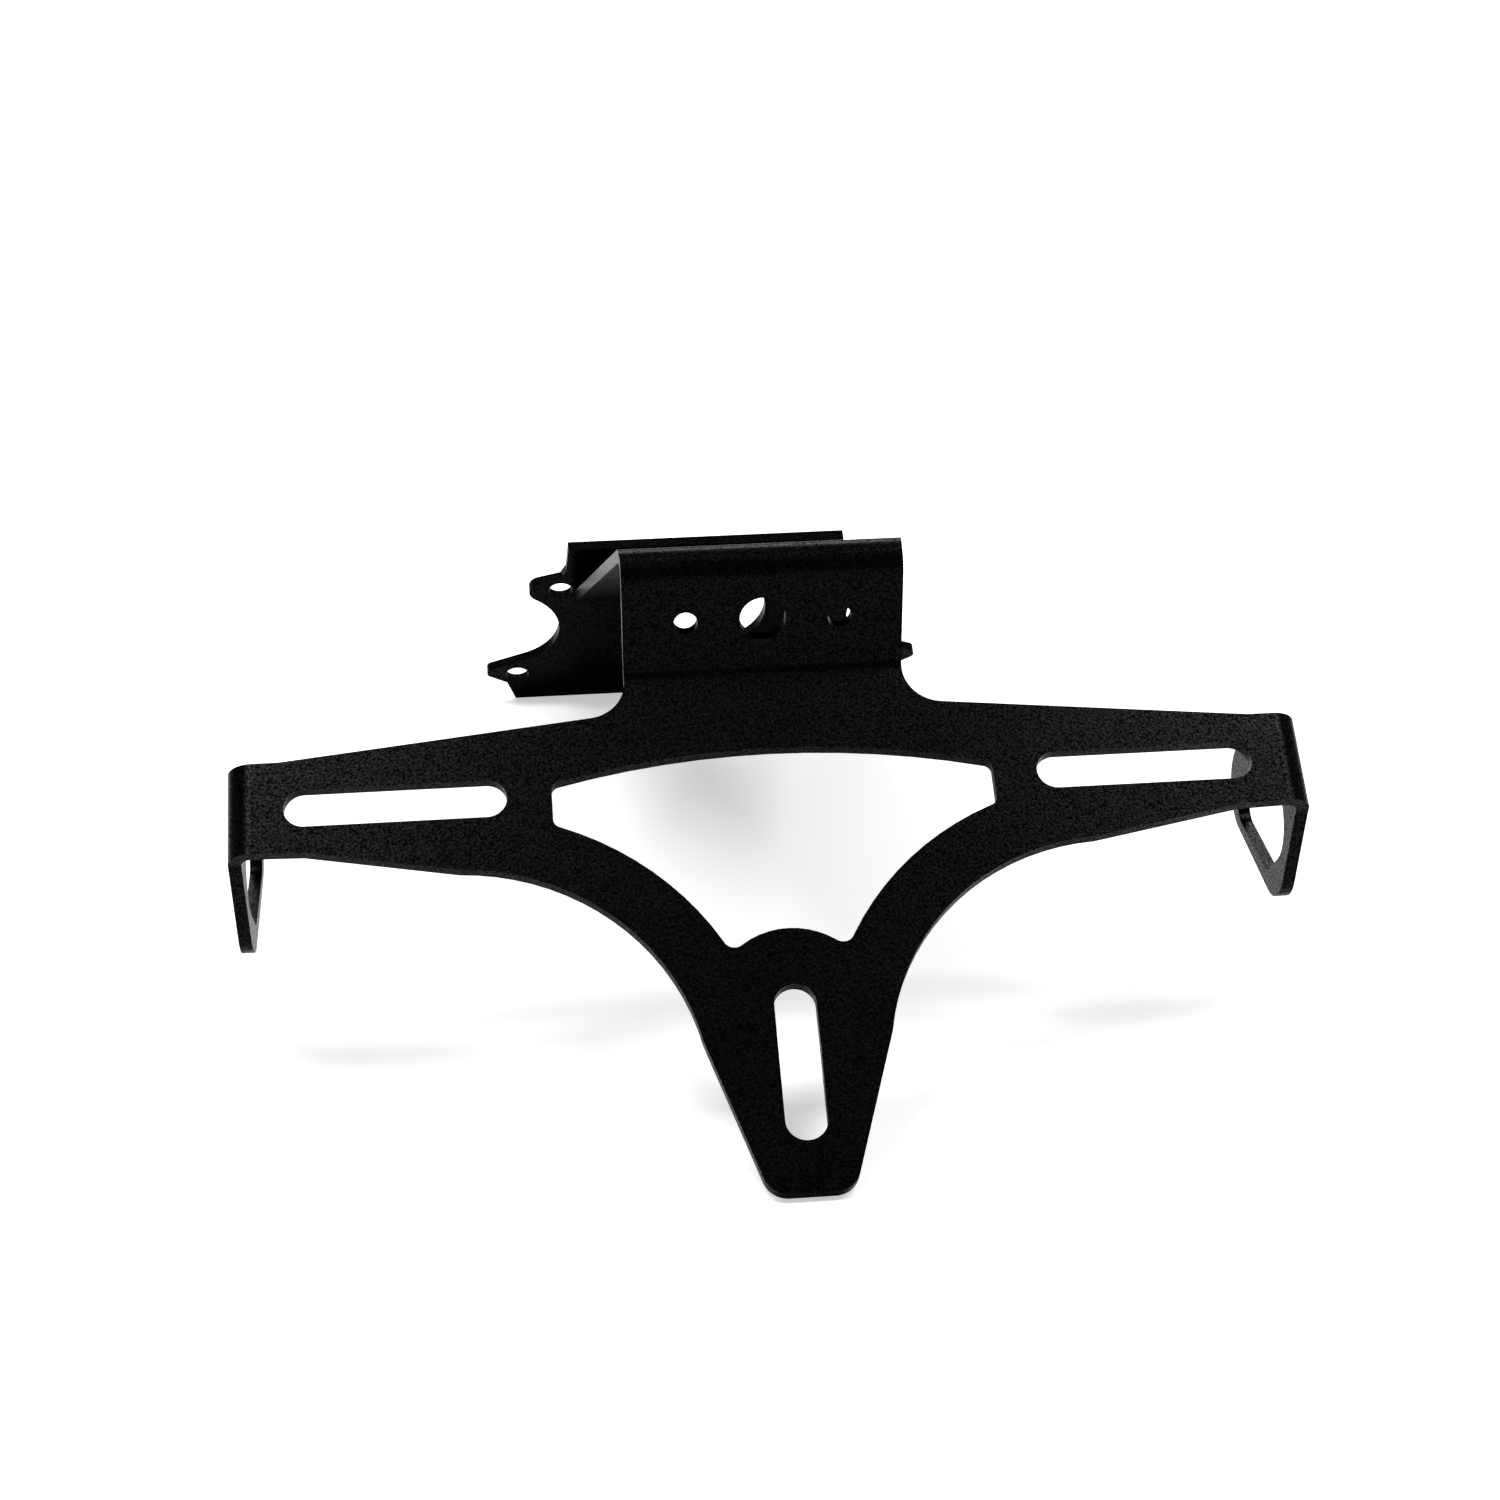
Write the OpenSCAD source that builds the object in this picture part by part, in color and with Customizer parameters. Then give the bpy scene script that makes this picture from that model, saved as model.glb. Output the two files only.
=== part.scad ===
// Tail tidy: one folded sheet with a number plate face, a lamp tab, a bridge and a mounting plate
// Millimetres, +Z up. X runs across the part, +Y runs to the back, Z = 0 is the floor it rests on.
// The flat panels are drawn in the sheet's own frame: x across, y along, front face at z = 0.

/* [Sheet] */
// Sheet thickness with its coating
sheet_t = 2.6; // [2:0.1:4]
// Inner radius of every fold
fold_r = 2.4; // [1:0.1:5]
// Slope of the number plate face above the floor, in degrees
face_slope = 39.8; // [25:0.1:60]

/* [Number plate face] */
// Half of the overall width
half_w = 107.5; // [90:0.5:130]
// Distance from the arm line down to the leg's bottom edge
leg_drop = 97.5; // [80:0.5:120]
// Taper of the leg's sides, across per unit down
leg_taper = 0.325; // [0:0.005:0.6]
// Half width that the leg's side lines would have at the arm line
leg_side = 39.6; // [30:0.1:45]
// Corner radius at the leg's bottom
leg_corner = 5; // [1:0.5:7]
// Centre distance from the middle to each side slot
slot_x = 74.5; // [60:0.5:90]
// Height of the side slots
slot_y = -12.7; // [-20:0.1:0]
// Half length between the round ends of a side slot
slot_half = 17.75; // [5:0.25:22]
// Width of every slot
slot_w = 8.1; // [6:0.1:10]
// Height of the leg slot's centre
leg_slot_y = -71.5; // [-80:0.5:-60]
// Half length between the round ends of the leg slot
leg_slot_half = 11.7; // [4:0.1:15]

/* [Lamp tab] */
// Half width of the tab
tab_half = 28.2; // [20:0.1:40]
// Height of the fold between face and tab
tab_y = 13.4; // [8:0.1:20]
// Tab length between its two fold lines
tab_len = 28.8; // [20:0.1:50]
// Fold angle of the tab towards the front, in degrees
tab_fold = 58; // [10:1:80]
// Distance of each lamp hole from the middle
lamp_x = 15.5; // [8:0.1:22]
// Diameter of the lamp holes
lamp_d = 4.8; // [3:0.1:8]
// Diameter of the cable hole
cable_d = 9.3; // [5:0.1:14]
// Height of the holes above the fold line
lamp_y = 11.2; // [6:0.1:20]

/* [Bridge and mounting plate] */
// Fold angle between tab and bridge, in degrees
bridge_fold = 119.8; // [90:0.1:140]
// Bridge length on its upper face
bridge_len = 175; // [80:0.5:220]
// Half width of the bridge where it meets the mounting plate
bridge_half = 33.8; // [25:0.1:45]
// Angle between the bridge and the mounting plate, in degrees
mount_angle = 35.7; // [20:0.1:90]
// Mounting plate's height above the bridge
mount_up = 21.5; // [15:0.1:40]
// Half width of the mounting plate's top edge
mount_half = 34.8; // [30:0.1:50]
// Half width of the mounting plate's bottom edge
foot_half = 49.7; // [40:0.1:60]
// Upper bolt hole: distance from the middle
bolt1_x = 37; // [30:0.1:50]
// Lower bolt hole: distance from the middle
bolt2_x = 49; // [40:0.1:60]
// Height of the upper bolt holes above the bridge
bolt1_y = 5.2; // [0:0.1:15]
// Height of the lower bolt holes below the bridge
bolt2_y = 29.5; // [15:0.1:35]
// Diameter of the bolt holes
bolt_d = 6.2; // [4:0.1:9]
// Tip radius of the upper ears
ear1_r = 3.4; // [2:0.1:5]
// Tip radius of the lower ears
ear2_r = 1.7; // [1:0.1:3]
// Radius of the wiring hole
wire_r = 16; // [8:0.5:20]

/* [Side flaps] */
// Depth of the flap's back corner behind the face
flap_back = 40.4; // [20:0.1:60]
// Depth of the flap's lower corner behind the face
flap_low = 27; // [15:0.1:45]
// Outer corner radius of a flap
flap_r = 9.6; // [6:0.1:14]

/* [Hidden] */
$fn = 96;
// Outer radius of every fold
out_r = fold_r + sheet_t;
// Upper and lower edge of the arms beside the folds
arm_top = -2.4;
arm_low = -22.1;
// Upper edge line of the arms: height at the middle and slope
top_y = 7.8;
top_k = 0.105;
// Round cut-outs below the arms, and the window's matching arcs
hip = [64.6, -75.2];
hip_r = 47.4;
band_w = 12.2;
// Window: radius and centre of its top arc, half width, and the bump above the leg slot
win_r = 178.4;
win_c = [0, -183.1];
win_half = 43.9;
win_round = 1.8;
bump = [0, -59.5];
bump_r = 15.5;
tip_r = 2.2;
// Fillet between tab and arm
neck_r = 8;
// Radius and centre of the notch between the ears, and where the lower ear's edge runs out of it
notch_r = 14.6;
notch_c = [52.2, -9.7];
notch_a = 246;
// Tip centres of the ears, and the inner corners above the upper ear and below the lower one
ear1_c = [41.6, 4.9];
ear2_c = [55.2, -28.4];
crook1 = [36.9, 9.8];
crook2 = [51.8, -32.6];
// Where the face ends and the fold to the tab begins
face_top = tab_y - fold_r*tan(tab_fold/2);
// Straight lengths of tab and bridge between their folds
tab_flat = tab_len - fold_r*tan(tab_fold/2) - out_r*tan(bridge_fold/2);
bridge_flat = bridge_len - out_r*tan(bridge_fold/2);
// Slopes of tab, bridge and mounting plate, measured from the face's own direction
tab_dir = tab_fold;
bridge_dir = tab_fold - bridge_fold;
mount_dir = bridge_dir - mount_angle;
// The bridge's underside where it meets the mounting plate, in the face's side view
peak = [tab_y, 0] + tab_len*[cos(tab_dir), sin(tab_dir)];
joint_top = peak + bridge_len*[cos(bridge_dir), sin(bridge_dir)];
joint = joint_top + sheet_t*[sin(bridge_dir), -cos(bridge_dir)];
// Distance by which an arc stands proud of the line that runs into it, so that the two always cross
bite = 0.01;
// Length by which a panel reaches into a fold, and the angle by which a fold reaches into a panel
lap = 0.4;
lap_ang = 6;
// Floor level: the leg's back edge, and the mounting plate cut to reach the same level
floor_z = -leg_drop*sin(face_slope) - sheet_t*cos(face_slope);
joint_z = joint[0]*sin(face_slope) + joint[1]*cos(face_slope);
mount_down = (floor_z - joint_z)/sin(mount_dir + face_slope);
// Front and back ends of the part, for an origin in the middle of its footprint
foot_p = joint + mount_down*[cos(mount_dir), sin(mount_dir)];
foot_b = foot_p + sheet_t*[-sin(mount_dir), cos(mount_dir)];
front_y = -leg_drop*cos(face_slope);
back_y = foot_b[0]*cos(face_slope) - foot_b[1]*sin(face_slope);
mid_y = (front_y + back_y)/2;

// Meeting point of two circles, on the chosen side of the line between their centres
function meet(a, ra, b, rb, side) =
  let (d = norm(b - a), e = (b - a)/d)
  let (k = (ra*ra - rb*rb + d*d)/(2*d), h = sqrt(ra*ra - k*k))
  a + k*e + side*h*[-e[1], e[0]];

// Point at distance r from a towards b
function toward(a, b, r) = a + r*(b - a)/norm(b - a);

// Ends of the straight line that touches two circles, to the right of the way from a to b
function tangent(a, ra, b, rb) =
  let (d = norm(b - a), e = (b - a)/d, k = (ra - rb)/d)
  let (n = k*e + sqrt(1 - k*k)*[e[1], -e[0]])
  [a + max(ra - bite, 0)*n, b + max(rb - bite, 0)*n];

// Children and their mirror image across x = 0
module both_sides() {
  children();
  mirror([1, 0, 0]) children();
}

// Outline with round corners: circles of radius r[i] about c[i], counter-clockwise, and the lines between
module round_shape(c, r) {
  n = len(c);
  polygon([for (i = [0:n - 1]) each tangent(c[i], r[i], c[(i + 1)%n], r[(i + 1)%n])]);
  for (i = [0:n - 1]) translate(c[i]) circle(r[i]);
}

// Straight slot with round ends, from point a to point b
module slot_2d(a, b, w) {
  round_shape([a, b], [w/2, w/2]);
}

// Fillet that fills the inner corner between tab and arm
module neck_2d() {
  cx = tab_half + neck_r;
  cy = top_y - top_k*cx + neck_r*sqrt(1 + top_k*top_k);
  low = [cx, cy] - neck_r*[top_k, 1]/sqrt(1 + top_k*top_k);
  difference() {
    polygon([[tab_half - 1, cy], [cx, cy], low, low - [0, 1], [tab_half - 1, 0]]);
    translate([cx, cy]) circle(neck_r + bite);
  }
}

// Right half of the face's outer shape
module half_face_2d() {
  k = sqrt(1 + leg_taper*leg_taper);
  cor_y = -leg_drop + leg_corner;
  cor_x = leg_side + leg_taper*cor_y - leg_corner*k;
  cor = [cor_x, cor_y] + (leg_corner - bite)*[1, -leg_taper]/k;
  arm_x = half_w - out_r;
  bend_x = (top_y - arm_top)/top_k;
  difference() {
    polygon([[0, face_top + lap], [tab_half, face_top + lap], [tab_half, top_y - top_k*tab_half],
      [bend_x, arm_top], [arm_x, arm_top], [arm_x, arm_low], [92.5, arm_low - 0.3],
      [56.2, -29], [leg_side - leg_taper*60.7, -60.7], cor, [cor_x, bite - leg_drop], [0, bite - leg_drop]]);
    translate(hip) circle(hip_r);
  }
  translate([cor_x, cor_y]) circle(leg_corner);
  neck_2d();
}

// Window with its two lower lobes
module window_2d() {
  tip_c = meet(hip, hip_r + band_w + tip_r, bump, bump_r + tip_r, -1);
  tip_x = meet(hip, hip_r + band_w, bump, bump_r, -1);
  up_x = win_half - win_round;
  up = [up_x, win_c[1] + sqrt(pow(win_r - win_round, 2) - up_x*up_x)];
  low = [up_x, hip[1] + sqrt(pow(hip_r + band_w + win_round, 2) - pow(up_x - hip[0], 2))];
  difference() {
    intersection() {
      translate(win_c) circle(win_r);
      translate([-win_half, bump[1]]) square([2*win_half, 70]);
    }
    translate(bump) circle(bump_r);
    both_sides() {
      translate(hip) circle(hip_r + band_w);
      polygon([tip_c, toward(tip_c, hip, tip_r + 1), toward(tip_x, tip_c, -1), toward(tip_c, bump, tip_r + 1)]);
      polygon([up, [win_half, up[1]], [win_half + 1, up[1]], up + [5, 5], toward(up, win_c, -win_round)]);
      polygon([low, toward(low, hip, win_round), low + [4, -4], [win_half + 1, low[1]], [win_half, low[1]]]);
    }
  }
  both_sides() {
    translate(tip_c) circle(tip_r + bite);
    translate(up) circle(win_round + bite);
    translate(low) circle(win_round + bite);
  }
}

// The whole flat face with its window and slots
module face_2d() {
  difference() {
    both_sides() half_face_2d();
    window_2d();
    both_sides() slot_2d([slot_x - slot_half, slot_y], [slot_x + slot_half, slot_y], slot_w);
    slot_2d([0, leg_slot_y - leg_slot_half], [0, leg_slot_y + leg_slot_half], slot_w);
  }
}

// Lamp tab, drawn from the end of its fold and wider than it ends up
module tab_2d() {
  y = lamp_y - fold_r*tan(tab_fold/2);
  w = bridge_half + 3;
  difference() {
    translate([-w, -lap]) square([2*w, tab_flat + 2*lap]);
    translate([0, y + 0.3]) circle(d = cable_d);
    both_sides() translate([lamp_x, y]) circle(d = lamp_d);
  }
}

// Bridge, drawn from the end of its fold and wider than it ends up
module bridge_2d() {
  w = bridge_half + 2;
  translate([-w, -lap]) square([2*w, bridge_flat + lap + 0.6]);
}

// Right half of the mounting plate with its two horn-shaped ears; the bridge meets it at y = 0
module half_mount_2d() {
  run_out = notch_c + (notch_r - bite)*[cos(notch_a), sin(notch_a)];
  under = tangent(crook2, 0, ear2_c, ear2_r);
  over = tangent(ear2_c, ear2_r, run_out, 0);
  top = tangent(ear1_c, ear1_r, crook1, 0);
  difference() {
    polygon([[0, mount_up], [0, -mount_down], [foot_half, -mount_down], crook2, under[1], ear2_c, over[0],
      run_out, notch_c, ear1_c, top[0], crook1, crook1 + [-1.4, 2.9], [mount_half, mount_up]]);
    translate(notch_c) circle(notch_r);
  }
  translate(ear1_c) circle(ear1_r);
  translate(ear2_c) circle(ear2_r);
}

// Mounting plate with its bolt holes and wiring hole
module mount_2d() {
  difference() {
    both_sides() half_mount_2d();
    translate([0, -5.8]) circle(wire_r);
    both_sides() {
      translate([bolt1_x, bolt1_y]) circle(d = bolt_d);
      translate([bolt2_x, -bolt2_y]) circle(d = bolt_d);
    }
  }
}

// Flap in side view: x is the depth behind the face, y the height on the face
module flap_2d() {
  back = [flap_back, 0.6];
  low = [flap_low, -20.4];
  up = tangent(back, flap_r, [out_r, arm_top], 0);
  down = tangent([out_r, arm_low], 0, low, flap_r);
  side = tangent(low, flap_r, back, flap_r);
  difference() {
    union() {
      polygon([down[0], down[1], side[0], side[1], up[0], up[1]]);
      translate(back) circle(flap_r);
      translate(low) circle(flap_r);
    }
    round_shape([[22.4, -15.2], [30.6, -17.6], [42, -2.4], [18.2, -9.6]], [8.8, 5, 4.4, 4.6]);
  }
}

// Fold about the origin's x axis, from the bottom up, reaching a little into both panels
module fold(ang) {
  h = bridge_half + 1;
  rotate([90, 0, 90]) rotate([0, 0, -90 - lap_ang])
    rotate_extrude(angle = ang + 2*lap_ang) translate([fold_r + 2*bite, -h]) square([sheet_t, 2*h]);
}

// Places children on the tab: y runs up it from the end of its fold
module on_tab() {
  translate([0, face_top, fold_r]) rotate([tab_fold, 0, 0]) translate([0, 0, -fold_r]) children();
}

// Places children on the bridge: y runs along it from the end of its fold
module on_bridge() {
  on_tab() translate([0, tab_flat, -out_r]) rotate([-bridge_fold, 0, 0]) translate([0, 0, out_r]) children();
}

// Places children on the mounting plate: y runs up it from the bridge's underside
module on_mount() {
  on_bridge() translate([0, bridge_flat, -sheet_t]) rotate([180 - mount_angle, 0, 0]) children();
}

// Tab and bridge with their folds, trimmed to width: straight beside the tab, wider along the bridge
module ribbon() {
  far = joint_top[0] + 10;
  wide = bridge_half + 10*(bridge_half - tab_half)/(joint_top[0] - peak[0]);
  intersection() {
    union() {
      translate([0, face_top, fold_r]) fold(tab_fold);
      on_tab() panel() tab_2d();
      on_tab() translate([0, tab_flat, -out_r]) rotate([180 - bridge_fold, 0, 0]) fold(bridge_fold);
      on_bridge() panel() bridge_2d();
    }
    translate([0, 0, -250]) linear_extrude(350)
      polygon([[-tab_half, 0], [tab_half, 0], [tab_half, peak[0]], [wide, far], [-wide, far], [-tab_half, peak[0]]]);
  }
}

// Flat panel whose front face is at z = 0
module panel() {
  translate([0, 0, -sheet_t]) linear_extrude(sheet_t) children();
}

// Arm end fold and the flap behind it, on the right side
module side_flap() {
  translate([half_w - out_r, 0, -out_r]) rotate([90, 0, 0])
    rotate_extrude(angle = 90) translate([fold_r, -arm_top]) square([sheet_t, arm_top - arm_low]);
  translate([half_w - sheet_t, 0, 0]) rotate([0, 90, 0]) linear_extrude(sheet_t) flap_2d();
}

// The folded sheet, resting on the leg and on the mounting plate's lower edge
module bracket() {
  color([0.03, 0.03, 0.03])
  translate([0, -mid_y, -floor_z]) rotate([face_slope, 0, 0]) {
    panel() face_2d();
    both_sides() side_flap();
    ribbon();
    on_mount() panel() mount_2d();
  }
}

bracket();
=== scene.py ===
import bpy
import math
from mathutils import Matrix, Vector

# Lengths are in metres, angles in degrees, lamp power in watts, colours linear
WHITE = (1, 1, 1, 1)

# Coat: the grain is its fine beads, the cloud its slow drift in tone and gloss
GRAIN_SCALE = 2000.0
GRAIN_DETAIL = 2.0
CLOUD_SCALE = 55.0
CLOUD_DETAIL = 3.0
NOISE_ROUGHNESS = 0.55
GRAIN_SHARE = 0.45
CLOUD_SHARE = 0.55
TONE_STOPS = (0.36, 0.66)
TONE_COLOURS = ((0.0004, 0.0004, 0.00043, 1), (0.0011, 0.0011, 0.00115, 1))
GLINT_GRAIN = (0.38, 0.72)
GLINT_LEVEL = (0.005, 0.14)
WHOLE_RANGE = (0.0, 1.0)
COAT_ROUGHNESS = (0.22, 0.29)
COAT_IOR = 1.45
BUMP_STRENGTH = 0.45
BUMP_DEPTH = 0.0001

# Cut edges, rounded a little by the coat
EDGE_WIDTH = 0.00045
EDGE_SEGMENTS = 2
EDGE_ANGLE = 40

# Floor, with a light of its own for the camera that grows with the distance from the middle
FLOOR_SIZE = 14
FLOOR_COLOUR = (0.9, 0.9, 0.9, 1)
FLOOR_ROUGHNESS = 0.85
FLOOR_SPECULAR = 0.1
GLOW_DISTANCE = (0.08, 0.3)
GLOW_STRENGTH = (0.4, 1.0)

# Surroundings, as a light and as the camera sees them
WORLD_LIGHT = 0.26
WORLD_SEEN = 1.0

# Lamps: name, place, aim, size and power. The arms mirror the left and right lamps, and the
# middle of the face mirrors the dark gap between the two.
LAMPS = [
    ("back", (0.0, 1.35, 1.0), (0, 0, 0.03), (1.6, 0.6), 11),
    ("left", (-0.34, -0.1, 1.05), (-0.05, -0.03, 0.06), (0.36, 0.4), 6.0),
    ("right", (0.5, -0.1, 1.05), (0.05, -0.03, 0.06), (0.36, 0.4), 5.2),
]

# Camera fitted to the photograph, with its sensor and lens in millimetres
CAMERA_PLACE = (-0.05083, -0.58510, 0.27800)
CAMERA_TURN = (67.5781, 0.8686, -5.4594)
CAMERA_SENSOR = 36.0
CAMERA_LENS = 68.54
CAMERA_CLIP = (0.01, 50.0)

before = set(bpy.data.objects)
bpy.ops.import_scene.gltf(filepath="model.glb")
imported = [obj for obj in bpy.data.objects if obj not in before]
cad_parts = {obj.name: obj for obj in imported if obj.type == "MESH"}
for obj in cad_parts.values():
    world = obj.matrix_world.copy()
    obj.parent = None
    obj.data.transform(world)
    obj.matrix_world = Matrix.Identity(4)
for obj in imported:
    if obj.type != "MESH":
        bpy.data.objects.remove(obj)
scene = bpy.context.scene


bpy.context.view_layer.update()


def set_input(tree, socket, value):
    """Link an input to another node's output, or set it to a plain value."""
    if isinstance(value, bpy.types.NodeSocket):
        tree.links.new(value, socket)
    else:
        socket.default_value = value


def add_node(tree, kind, **inputs):
    """Add a shader node. An underscore in an input's name stands for a space."""
    added = tree.nodes.new("ShaderNode" + kind)
    for name, value in inputs.items():
        set_input(tree, added.inputs[name.replace("_", " ")], value)
    return added


def calculate(tree, operation, *values):
    """Give the result of a maths operation on numbers and other nodes' outputs."""
    added = tree.nodes.new("ShaderNodeMath")
    added.operation = operation
    for socket, value in zip(added.inputs, values):
        set_input(tree, socket, value)
    return added.outputs["Value"]


def map_range(tree, value, before, after, curve="LINEAR"):
    """Carry a value over from one range to another."""
    added = add_node(tree, "MapRange", Value=value)
    added.interpolation_type = curve
    for name, ends in (("From", before), ("To", after)):
        added.inputs[name + " Min"].default_value = ends[0]
        added.inputs[name + " Max"].default_value = ends[1]
    return added.outputs["Result"]


def noise(tree, place, scale, detail):
    added = add_node(
        tree, "TexNoise", Vector=place, Scale=scale, Detail=detail, Roughness=NOISE_ROUGHNESS
    )
    return added.outputs["Fac"]


def new_material(name):
    material = bpy.data.materials.new(name)
    material.use_nodes = True
    material.node_tree.nodes.clear()
    return material, material.node_tree


# Matte black powder coat with a fine grain
def powder_coat():
    material, tree = new_material("powder_coat")
    place = add_node(tree, "TexCoord").outputs["Object"]
    grain = noise(tree, place, GRAIN_SCALE, GRAIN_DETAIL)
    cloud = noise(tree, place, CLOUD_SCALE, CLOUD_DETAIL)

    cloud_part = calculate(tree, "MULTIPLY", cloud, CLOUD_SHARE)
    spots = calculate(tree, "MULTIPLY_ADD", grain, GRAIN_SHARE, cloud_part)
    tone = add_node(tree, "ValToRGB", Fac=spots)
    for element, stop, colour in zip(tone.color_ramp.elements, TONE_STOPS, TONE_COLOURS):
        element.position = stop
        element.color = colour

    bump = add_node(tree, "Bump", Strength=BUMP_STRENGTH, Distance=BUMP_DEPTH, Height=grain)
    shader = add_node(
        tree,
        "BsdfPrincipled",
        Base_Color=tone.outputs["Color"],
        Roughness=map_range(tree, cloud, WHOLE_RANGE, COAT_ROUGHNESS),
        IOR=COAT_IOR,
        # The coat's fine beads catch the light unevenly
        Specular_IOR_Level=map_range(tree, grain, GLINT_GRAIN, GLINT_LEVEL),
        Normal=bump.outputs["Normal"],
    )
    add_node(tree, "OutputMaterial", Surface=shader.outputs["BSDF"])
    return material


# Pale floor that the camera sees near white and that keeps the part's shadow
def floor_material():
    material, tree = new_material("floor")
    matte = add_node(
        tree,
        "BsdfPrincipled",
        Base_Color=FLOOR_COLOUR,
        Roughness=FLOOR_ROUGHNESS,
        Specular_IOR_Level=FLOOR_SPECULAR,
    )
    distance = tree.nodes.new("ShaderNodeVectorMath")
    distance.operation = "LENGTH"
    set_input(tree, distance.inputs[0], add_node(tree, "TexCoord").outputs["Object"])
    strength = map_range(
        tree, distance.outputs["Value"], GLOW_DISTANCE, GLOW_STRENGTH, "SMOOTHSTEP"
    )
    camera_ray = add_node(tree, "LightPath").outputs["Is Camera Ray"]
    shown = calculate(tree, "MULTIPLY", camera_ray, strength)
    glow = add_node(tree, "Emission", Color=WHITE, Strength=shown)

    both = add_node(tree, "AddShader")
    set_input(tree, both.inputs[0], matte.outputs["BSDF"])
    set_input(tree, both.inputs[1], glow.outputs["Emission"])
    add_node(tree, "OutputMaterial", Surface=both.outputs["Shader"])
    return material


# White surroundings: bright to the camera, softer as a light
def white_world():
    world = bpy.data.worlds.new("world")
    world.use_nodes = True
    tree = world.node_tree
    tree.nodes.clear()
    light = add_node(tree, "Background", Color=WHITE, Strength=WORLD_LIGHT)
    seen = add_node(tree, "Background", Color=WHITE, Strength=WORLD_SEEN)
    camera_ray = add_node(tree, "LightPath").outputs["Is Camera Ray"]
    choice = add_node(tree, "MixShader", Fac=camera_ray)
    set_input(tree, choice.inputs[1], light.outputs["Background"])
    set_input(tree, choice.inputs[2], seen.outputs["Background"])
    add_node(tree, "OutputWorld", Surface=choice.outputs["Shader"])
    return world


def add_lamp(name, place, aim, size, power):
    data = bpy.data.lights.new(name, "AREA")
    data.shape = "RECTANGLE"
    data.size, data.size_y = size
    data.energy = power
    lamp = bpy.data.objects.new(name, data)
    scene.collection.objects.link(lamp)
    lamp.location = place
    towards = Vector(aim) - Vector(place)
    lamp.rotation_euler = towards.to_track_quat("-Z", "Y").to_euler()


def add_camera():
    data = bpy.data.cameras.new("camera")
    data.sensor_width = CAMERA_SENSOR
    data.lens = CAMERA_LENS
    data.clip_start, data.clip_end = CAMERA_CLIP
    camera = bpy.data.objects.new("camera", data)
    scene.collection.objects.link(camera)
    camera.location = CAMERA_PLACE
    camera.rotation_euler = [math.radians(angle) for angle in CAMERA_TURN]
    return camera


# The bracket keeps its CAD mesh and gets the coat and softened edges
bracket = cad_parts["bracket"]
bracket.data.materials.clear()
bracket.data.materials.append(powder_coat())
edges = bracket.modifiers.new("soft_edges", "BEVEL")
edges.width = EDGE_WIDTH
edges.segments = EDGE_SEGMENTS
edges.limit_method = "ANGLE"
edges.angle_limit = math.radians(EDGE_ANGLE)
bracket.data.shade_smooth()

bpy.ops.mesh.primitive_plane_add(size=FLOOR_SIZE, location=(0, 0, 0))
floor = bpy.context.object
floor.name = "floor"
floor.data.materials.append(floor_material())

scene.world = white_world()
for lamp_values in LAMPS:
    add_lamp(*lamp_values)
scene.camera = add_camera()
scene.view_settings.view_transform = "Standard"
